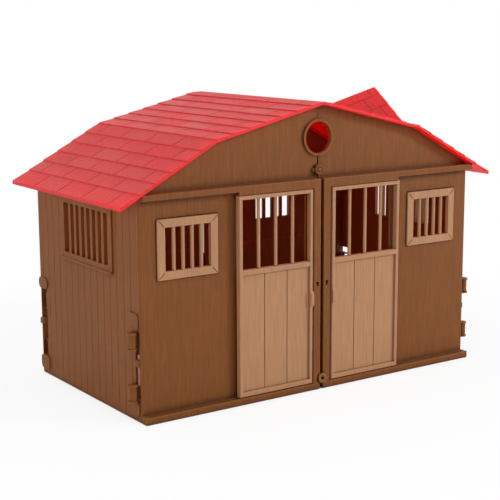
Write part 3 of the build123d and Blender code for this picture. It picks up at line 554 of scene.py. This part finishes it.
@dataclass(frozen=True)
class Finishes:
    """The barn's plastics and its steel."""

    brown: MouldedPlastic = MouldedPlastic(
        name="brown_plastic",
        body=linear(121, 71, 27),
        # This colour is a painted highlight along edges; the next one is painted shade in grooves and
        # corners.
        painted_edge=linear(178, 116, 66),
        painted_shade_colour=linear(60, 20, 1),
        roughness=0.52,
    )
    tan: MouldedPlastic = MouldedPlastic(
        name="tan_plastic",
        body=linear(169, 125, 90),
        # This colour is a painted highlight along edges; the next one is painted shade in grooves and
        # corners.
        painted_edge=linear(208, 168, 134),
        painted_shade_colour=linear(98, 44, 14),
        roughness=0.48,
        grain_tone=0.8,
        mottle=0.1,
        painted_shade_reach=0.0016,
        painted_shade_share=0.95,
        glow=0.2,
    )
    red: MouldedPlastic = MouldedPlastic(
        name="red_roof_plastic",
        body=linear(222, 32, 34),
        # This colour paints edges a darker, more saturated red; the next one is painted shade in shingle
        # joints and corners.
        painted_edge=linear(198, 12, 10),
        painted_shade_colour=linear(140, 8, 8),
        roughness=0.44,
        grain_stretch=(0.6, 0.45, 0.6),
        grain_depth=0.0009,
        grain_tone=0.8,
        mottle=0.3,
        smear=0.05,
        painted_shade_reach=0.0015,
        painted_shade_share=0.9,
        shingle_tone=0.12,
        shingle_gloss=0.1,
        specular=0.3,
        glow=1.0,
        glow_reach=0.016,
        glow_radius=(1.0, 0.2, 0.1),
        passing=0.68,
    )
    # The dormer's red is a little paler than the roof's: a painted sheen. Its shingles get no tones.
    dormer: MouldedPlastic = replace(
        red, name="red_dormer_plastic", body=linear(214, 40, 42), shingle_tone=0.0, shingle_gloss=0.0
    )
    steel: DrawnSteel = DrawnSteel(name="steel_pins", body=linear(196, 196, 198), roughness=0.35)


@dataclass(frozen=True)
class SubAssembly:
    """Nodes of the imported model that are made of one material."""

    title: str
    nodes: tuple[str, ...]
    slot: Slot

    def dress(self, material: bpy.types.Material) -> None:
        """Give every node of the sub-assembly its finish.

        Args:
            material: The finish.
        """
        for name in self.nodes:
            node = frame["nodes"][name]
            for place in node.material_slots:
                place.material = material
            LOG.info("%s: %s has %s in slot %s", self.title, name, material.name, self.slot.value)


@dataclass(frozen=True)
class CatchCover:
    """Thin moulded cover over the front of a catch, turned about the catch's axis."""

    name: str
    height: float
    face: float
    profile: tuple[tuple[float, float], ...]
    segments: int = 40
    body: str = "right_half"

    def build(self, material: bpy.types.Material) -> bpy.types.Object:
        """Turn the cover's profile into a solid and set it on the right half.

        Args:
            material: The finish.

        Returns:
            The new object.
        """
        shape = bmesh.new()
        ring = [shape.verts.new((radius, self.face - proud, self.height)) for radius, proud in self.profile]
        edges = [shape.edges.new(pair) for pair in zip(ring, ring[1:])]
        bmesh.ops.spin(
            shape,
            geom=ring + edges,
            cent=(0.0, self.face, self.height),
            axis=(0.0, 1.0, 0.0),
            angle=math.tau,
            steps=self.segments,
            use_merge=True,
        )
        bmesh.ops.remove_doubles(shape, verts=shape.verts, dist=1e-6)
        bmesh.ops.recalc_face_normals(shape, faces=shape.faces)
        mesh = bpy.data.meshes.new(self.name)
        shape.to_mesh(mesh)
        shape.free()
        mesh.materials.append(material)
        for face in mesh.polygons:
            face.use_smooth = True
        cover = bpy.data.objects.new(self.name, mesh)
        bpy.context.scene.collection.objects.link(cover)
        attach(cover, self.body)
        LOG.info("%s rides on %s", self.name, self.body)
        return cover


@dataclass
class Barn:
    """The barn's sub-assemblies with their finishes, and the covers of its two catches."""

    finishes: Finishes = Finishes()
    walls: SubAssembly = SubAssembly(
        "walls",
        (
            "front_left_wall", "front_right_wall", "left_wall", "right_wall",
            "back_left_wall", "back_right_wall",
            "front_left_corner_pin", "front_right_corner_pin",
            "back_left_corner_pin", "back_right_corner_pin",
        ),
        Slot.BROWN,
    )
    fronts: SubAssembly = SubAssembly(
        "doors and window frames",
        ("left_door", "right_door", "left_window_frame", "right_window_frame"),
        Slot.TAN,
    )
    roof: SubAssembly = SubAssembly("roof", ("left_roof", "right_roof"), Slot.RED)
    dormer: SubAssembly = SubAssembly("dormer", ("dormer_roof",), Slot.RED)
    gable: SubAssembly = SubAssembly("dormer gable", ("dormer_gable",), Slot.BROWN)
    wires: SubAssembly = SubAssembly("hinge wires", ("back_hinge_pin", "dormer_hinge_pin"), Slot.STEEL)
    upper_cover: CatchCover = CatchCover(
        name="upper_catch_cover",
        height=0.20804,
        face=-0.1013,
        profile=(
            (0.0, 0.0), (0.0046, 0.0), (0.0046, 0.0005), (0.0043, 0.0008), (0.0033, 0.0008),
            (0.0030, 0.0002), (0.0023, 0.0002), (0.0020, 0.0009), (0.0015, 0.0012), (0.0, 0.0012),
        ),
    )
    lower_cover: CatchCover = CatchCover(
        name="lower_catch_cover",
        height=0.0105,
        face=-0.1083,
        profile=(
            (0.0017, 0.0), (0.0046, 0.0), (0.0046, 0.0001), (0.0044, 0.00018),
            (0.0019, 0.00018), (0.0017, 0.0001), (0.0017, 0.0),
        ),
    )

    def build(self) -> None:
        """Dress every node and add the catch covers."""
        patterns = Patterns()
        brown = self.finishes.brown.material(patterns)
        self.walls.dress(brown)
        self.fronts.dress(self.finishes.tan.material(patterns))
        self.roof.dress(self.finishes.red.material(patterns))
        self.dormer.dress(self.finishes.dormer.material(patterns))
        self.gable.dress(brown)
        self.wires.dress(self.finishes.steel.material(patterns))
        for cover in (self.upper_cover, self.lower_cover):
            cover.build(brown)


@dataclass(frozen=True)
class Softbox:
    """A square soft lamp that points at a spot."""

    name: str
    place: Triple
    target: Triple
    size: float
    power: float

    def build(self) -> None:
        """Hang the lamp."""
        light = bpy.data.lights.new(self.name, "AREA")
        light.shape = "SQUARE"
        light.size = self.size
        light.energy = self.power
        lamp = bpy.data.objects.new(self.name, light)
        lamp.location = self.place
        aim = Vector(self.target) - Vector(self.place)
        lamp.rotation_euler = aim.to_track_quat("-Z", "Y").to_euler()
        bpy.context.scene.collection.objects.link(lamp)
        LOG.info("%s hangs at %s", self.name, self.place)


@dataclass
class Studio:
    """Pale floor, white surroundings and soft lamps."""

    floor_size: float = 8.0
    floor_drop: float = 0.0004
    floor_colour: Colour = (0.92, 0.92, 0.92)
    white_near: float = 0.86
    indoor_reach: float = 0.3
    indoor_contrast: float = 3.0
    indoor_offset: float = -0.35
    fade_from: float = 0.26
    fade_to: float = 0.6
    sky_light: float = 0.42
    backdrop_top: float = 0.47
    backdrop_fade: float = 0.1
    lamps: tuple[Softbox, ...] = (
        Softbox("key_softbox", (1.25, -1.3, 0.95), (0.0, -0.1, 0.12), 0.5, 19.5),
        Softbox("top_softbox", (-0.3, 0.1, 1.7), (-0.05, 0.0, 0.2), 1.4, 8.5),
        Softbox("corner_softbox", (-1.3, -1.4, 0.6), (-0.15, -0.1, 0.12), 0.8, 6.2),
        Softbox("side_fill", (-1.7, 0.1, 0.6), (-0.2, 0.0, 0.12), 1.0, 7.0),
    )

    def build(self) -> None:
        """Build the floor, the world and the lamps."""
        self.floor()
        self.surroundings()
        for lamp in self.lamps:
            lamp.build()

    def floor(self) -> None:
        """Build a flat floor under the barn, which fades to white away from it."""
        mesh = bpy.data.meshes.new("floor")
        grid = bmesh.new()
        bmesh.ops.create_grid(grid, x_segments=1, y_segments=1, size=self.floor_size / 2)
        bmesh.ops.translate(grid, verts=grid.verts, vec=(0.0, 0.0, -self.floor_drop))
        grid.to_mesh(mesh)
        grid.free()
        floor = bpy.data.objects.new("floor", mesh)
        bpy.context.scene.collection.objects.link(floor)
        mesh.materials.append(self.floor_material())

    def floor_material(self) -> bpy.types.Material:
        """Build the floor's matt white, which in the open shows as nearly pure white.

        Returns:
            The new material.
        """
        made = bpy.data.materials.new("pale_floor")
        made.use_nodes = True
        bench = NodeBench(made.node_tree)
        shader = made.node_tree.nodes["Principled BSDF"]
        bench.feed(shader.inputs["Base Color"], (*self.floor_colour, 1.0))
        bench.feed(shader.inputs["Roughness"], 0.9)
        bench.feed(shader.inputs["Specular IOR Level"], 0.0)
        away = bench.node("ShaderNodeVectorMath", operation="LENGTH")
        bench.feed(away.inputs[0], bench.node("ShaderNodeTexCoord").outputs["Object"])
        fade = bench.node("ShaderNodeMapRange", interpolation_type="SMOOTHSTEP")
        for name, value in (
            ("Value", away.outputs["Value"]),
            ("From Min", self.fade_from),
            ("From Max", self.fade_to),
            ("To Min", self.white_near),
        ):
            bench.feed(fade.inputs[name], value)
        bench.feed(fade.inputs["To Max"], 1.0)
        open_air = bench.node("ShaderNodeAmbientOcclusion", samples=8)
        bench.feed(open_air.inputs["Distance"], self.indoor_reach)
        outdoors = bench.math(
            "MULTIPLY_ADD", open_air.outputs["AO"], self.indoor_contrast, self.indoor_offset, clamp=True
        )
        seen = bench.math("MULTIPLY", outdoors, bench.node("ShaderNodeLightPath").outputs["Is Camera Ray"])
        white = bench.node("ShaderNodeEmission")
        bench.feed(white.inputs["Color"], WHITE)
        mix = bench.node("ShaderNodeMixShader")
        bench.feed(mix.inputs["Fac"], bench.math("MULTIPLY", fade.outputs["Result"], seen))
        bench.feed(mix.inputs[1], shader.outputs[0])
        bench.feed(mix.inputs[2], white.outputs[0])
        bench.feed(made.node_tree.nodes["Material Output"].inputs["Surface"], mix.outputs[0])
        return made

    def surroundings(self) -> None:
        """Set a white surrounding that lights the barn gently and shows as white."""
        world = bpy.data.worlds.new("white_room")
        bpy.context.scene.world = world
        world.use_nodes = True
        bench = NodeBench(world.node_tree)
        light = world.node_tree.nodes["Background"]
        bench.feed(light.inputs["Color"], WHITE)
        bench.feed(light.inputs["Strength"], self.sky_light)
        seen = bench.node("ShaderNodeBackground")
        bench.feed(seen.inputs["Color"], WHITE)
        bench.feed(seen.inputs["Strength"], 1.0)
        path = bench.node("ShaderNodeLightPath")
        split = bench.node("ShaderNodeSeparateXYZ")
        bench.feed(split.inputs[0], bench.node("ShaderNodeTexCoord").outputs["Generated"])
        wall = bench.node("ShaderNodeMapRange", interpolation_type="SMOOTHSTEP")
        for name, value in (
            ("Value", split.outputs["Z"]),
            ("From Min", self.backdrop_top),
            ("From Max", self.backdrop_top + self.backdrop_fade),
            ("To Min", 1.0),
            ("To Max", 0.0),
        ):
            bench.feed(wall.inputs[name], value)
        glossy = bench.math("MULTIPLY", path.outputs["Is Glossy Ray"], wall.outputs["Result"])
        shows = bench.math("MAXIMUM", path.outputs["Is Camera Ray"], path.outputs["Is Transmission Ray"])
        shows = bench.math("MAXIMUM", shows, glossy)
        mix = bench.node("ShaderNodeMixShader")
        bench.feed(mix.inputs["Fac"], shows)
        bench.feed(mix.inputs[1], light.outputs[0])
        bench.feed(mix.inputs[2], seen.outputs[0])
        bench.feed(world.node_tree.nodes["World Output"].inputs["Surface"], mix.outputs[0])


@dataclass
class Viewpoint:
    """Camera in front of the barn, to its left and a little above the roof."""

    place: Triple = (-0.6870, -0.9883, 0.3447)
    turn: float = -34.485
    tilt: float = 10.705
    roll: float = -0.238
    lens: float = 88.087
    sensor: float = 36.0

    def build(self) -> None:
        """Add the camera and make it the scene's own."""
        data = bpy.data.cameras.new("camera")
        data.lens = self.lens
        data.sensor_width = self.sensor
        data.clip_start = 0.05
        camera = bpy.data.objects.new("camera", data)
        look = Matrix.Rotation(math.radians(self.turn), 4, "Z")
        look = look @ Matrix.Rotation(math.radians(90.0 - self.tilt), 4, "X")
        look = look @ Matrix.Rotation(math.radians(self.roll), 4, "Z")
        camera.matrix_world = Matrix.Translation(Vector(self.place)) @ look
        bpy.context.scene.collection.objects.link(camera)
        bpy.context.scene.camera = camera


def main() -> None:
    """Dress the barn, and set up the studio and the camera."""
    logging.basicConfig(level=logging.INFO, format="%(name)s: %(message)s")
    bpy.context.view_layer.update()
    bpy.context.scene.view_settings.view_transform = "Standard"
    Barn().build()
    Studio().build()
    Viewpoint().build()
    LOG.info("sizes written")


if __name__ == "__main__":
    main()
